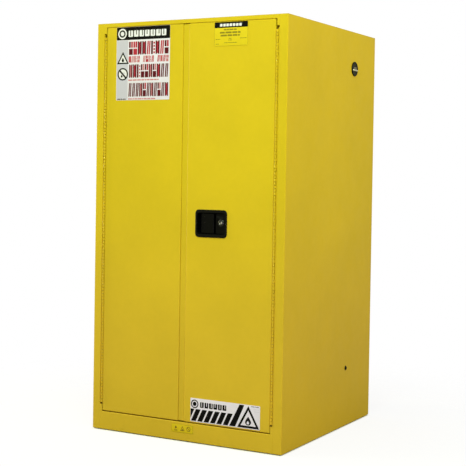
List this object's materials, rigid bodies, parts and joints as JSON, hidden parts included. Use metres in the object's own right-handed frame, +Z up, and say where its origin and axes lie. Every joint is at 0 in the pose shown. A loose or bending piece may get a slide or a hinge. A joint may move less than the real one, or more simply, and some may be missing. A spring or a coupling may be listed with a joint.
{
  "type": "flammable storage cabinet",
  "caption": "Double-walled steel safety cabinet with two piano-hinged doors, flush paddle handle, spill shelves, leakproof sump, capped vents and levelling feet.",
  "frame": {"origin": "on the floor, under the centre of the cabinet", "axes": "+Z up, the doors face -Y, +X to the right of someone facing the doors"},
  "size_m": [0.88, 0.8674, 1.655],
  "materials": {
    "shell_paint": "smooth semi-gloss safety-yellow powder coat",
    "liner_paint": "satin safety-yellow powder coat",
    "hinge_paint": "painted steel piano hinge",
    "galvanised": "spangled galvanised sheet",
    "zinc": "bright zinc plate",
    "handle_black": "fine-textured black die casting",
    "lock_chrome": "polished",
    "label_white": "vinyl label film",
    "label_yellow": "vinyl label film",
    "sticker": "vinyl label film",
    "vent_black": "black enamel",
    "foot_rubber": "black moulded foot"
  },
  "bodies": {
    "cabinet": {"left_side_panel": "shell_paint", "right_side_panel": "shell_paint", "back_panel": "shell_paint", "top_panel": "shell_paint", "base_panel": "shell_paint", "top_front_rail": "shell_paint", "bottom_front_rail": "shell_paint", "inner_left_wall": "liner_paint", "inner_right_wall": "liner_paint", "inner_back_wall": "liner_paint", "inner_ceiling": "liner_paint", "sump_pan": "liner_paint", "shelf_standard_front_left": "galvanised", "shelf_standard_front_right": "galvanised", "shelf_standard_rear_left": "galvanised", "shelf_standard_rear_right": "galvanised", "upper_vent_screen": "galvanised", "lower_vent_screen": "galvanised", "upper_shelf_bracket_left": "zinc", "upper_shelf_bracket_right": "zinc", "lower_shelf_bracket_left": "zinc", "lower_shelf_bracket_right": "zinc", "upper_strike": "zinc", "lower_strike": "zinc", "ground_screw": "zinc", "left_hinge_frame_leaf": "hinge_paint", "right_hinge_frame_leaf": "hinge_paint", "left_hinge_pin": "zinc", "right_hinge_pin": "zinc", "upper_vent_bushing": "vent_black", "lower_vent_bushing": "vent_black", "sill_sticker": "sticker"},
    "left_door": {"left_door_skin": "shell_paint", "left_door_lip_strip": "shell_paint", "left_door_inner_pan": "liner_paint", "left_door_catch": "zinc", "left_hinge_door_leaf": "hinge_paint", "hazard_label": "label_white"},
    "right_door": {"right_door_skin": "shell_paint", "right_door_inner_pan": "liner_paint", "right_hinge_door_leaf": "hinge_paint", "handle_housing": "handle_black", "lock_block": "handle_black", "latch_case": "zinc", "data_label": "label_yellow", "stripe_label": "label_white"},
    "paddle": {"handle_paddle": "handle_black"},
    "key_cylinder": {"key_cylinder": "lock_chrome"},
    "upper_rod": {"upper_latch_rod": "zinc"},
    "lower_rod": {"lower_latch_rod": "zinc"},
    "centre_bolt": {"centre_latch_bolt": "zinc"},
    "latch_cam": {"latch_cam": "zinc"},
    "upper_shelf": {"upper_shelf": "galvanised"},
    "lower_shelf": {"lower_shelf": "galvanised"},
    "upper_vent_cap": {"upper_vent_cap": "vent_black"},
    "lower_vent_cap": {"lower_vent_cap": "vent_black"},
    "foot_front_left": {"levelling_foot_front_left": "foot_rubber"},
    "foot_front_right": {"levelling_foot_front_right": "foot_rubber"},
    "foot_rear_left": {"levelling_foot_rear_left": "foot_rubber"},
    "foot_rear_right": {"levelling_foot_rear_right": "foot_rubber"}
  },
  "joints": [
    {"name": "left_door_hinge", "type": "hinge", "parent": "cabinet", "child": "left_door", "pos_m": [-0.3885, -0.4295, 0.86], "axis": [0, 0, 1], "range_deg": [-175, 0]},
    {"name": "right_door_hinge", "type": "hinge", "parent": "cabinet", "child": "right_door", "pos_m": [0.3885, -0.4295, 0.86], "axis": [0, 0, 1], "range_deg": [0, 175]},
    {"name": "paddle_hinge", "type": "hinge", "parent": "right_door", "child": "paddle", "pos_m": [0.1235, -0.4203, 0.86], "axis": [0, 0, 1], "range_deg": [0, 38], "stiffness_Nm_per_rad": 1.5, "springref_deg": -20.05},
    {"name": "upper_rod_slide", "type": "slide", "parent": "right_door", "child": "upper_rod", "axis": [0, 0, 1], "range_m": [-0.012, 0]},
    {"name": "lower_rod_slide", "type": "slide", "parent": "right_door", "child": "lower_rod", "axis": [0, 0, 1], "range_m": [0, 0.012]},
    {"name": "centre_bolt_slide", "type": "slide", "parent": "right_door", "child": "centre_bolt", "axis": [1, 0, 0], "range_m": [0, 0.012]},
    {"name": "latch_cam_turn", "type": "hinge", "parent": "right_door", "child": "latch_cam", "pos_m": [0.098, -0.3926, 0.86], "axis": [0, 1, 0], "range_deg": [0, 40]},
    {"name": "key_turn", "type": "hinge", "parent": "right_door", "child": "key_cylinder", "pos_m": [0.156, -0.4283, 0.864], "axis": [0, 1, 0], "range_deg": [0, 90]},
    {"name": "upper_shelf_lift", "type": "slide", "parent": "cabinet", "child": "upper_shelf", "axis": [0, 0, 1], "range_m": [0, 0.02]},
    {"name": "lower_shelf_lift", "type": "slide", "parent": "cabinet", "child": "lower_shelf", "axis": [0, 0, 1], "range_m": [0, 0.02]},
    {"name": "upper_vent_cap_turn", "type": "hinge", "parent": "cabinet", "child": "upper_vent_cap", "pos_m": [0.432, 0.2077, 1.501], "axis": [1, 0, 0], "continuous": true},
    {"name": "lower_vent_cap_turn", "type": "hinge", "parent": "cabinet", "child": "lower_vent_cap", "pos_m": [-0.432, 0.2077, 0.155], "axis": [-1, 0, 0], "continuous": true},
    {"name": "foot_front_left_adjust", "type": "slide", "parent": "cabinet", "child": "foot_front_left", "axis": [0, 0, 1], "range_m": [-0.012, 0]},
    {"name": "foot_rear_left_adjust", "type": "slide", "parent": "cabinet", "child": "foot_rear_left", "axis": [0, 0, 1], "range_m": [-0.012, 0]},
    {"name": "foot_front_right_adjust", "type": "slide", "parent": "cabinet", "child": "foot_front_right", "axis": [0, 0, 1], "range_m": [-0.012, 0]},
    {"name": "foot_rear_right_adjust", "type": "slide", "parent": "cabinet", "child": "foot_rear_right", "axis": [0, 0, 1], "range_m": [-0.012, 0]}
  ],
  "couplings": [
    {"joint": "upper_rod_slide", "follows": "paddle_hinge", "m_per_rad": -0.018},
    {"joint": "lower_rod_slide", "follows": "paddle_hinge", "m_per_rad": 0.018},
    {"joint": "centre_bolt_slide", "follows": "paddle_hinge", "m_per_rad": 0.018},
    {"joint": "latch_cam_turn", "follows": "paddle_hinge", "ratio": 1}
  ]
}
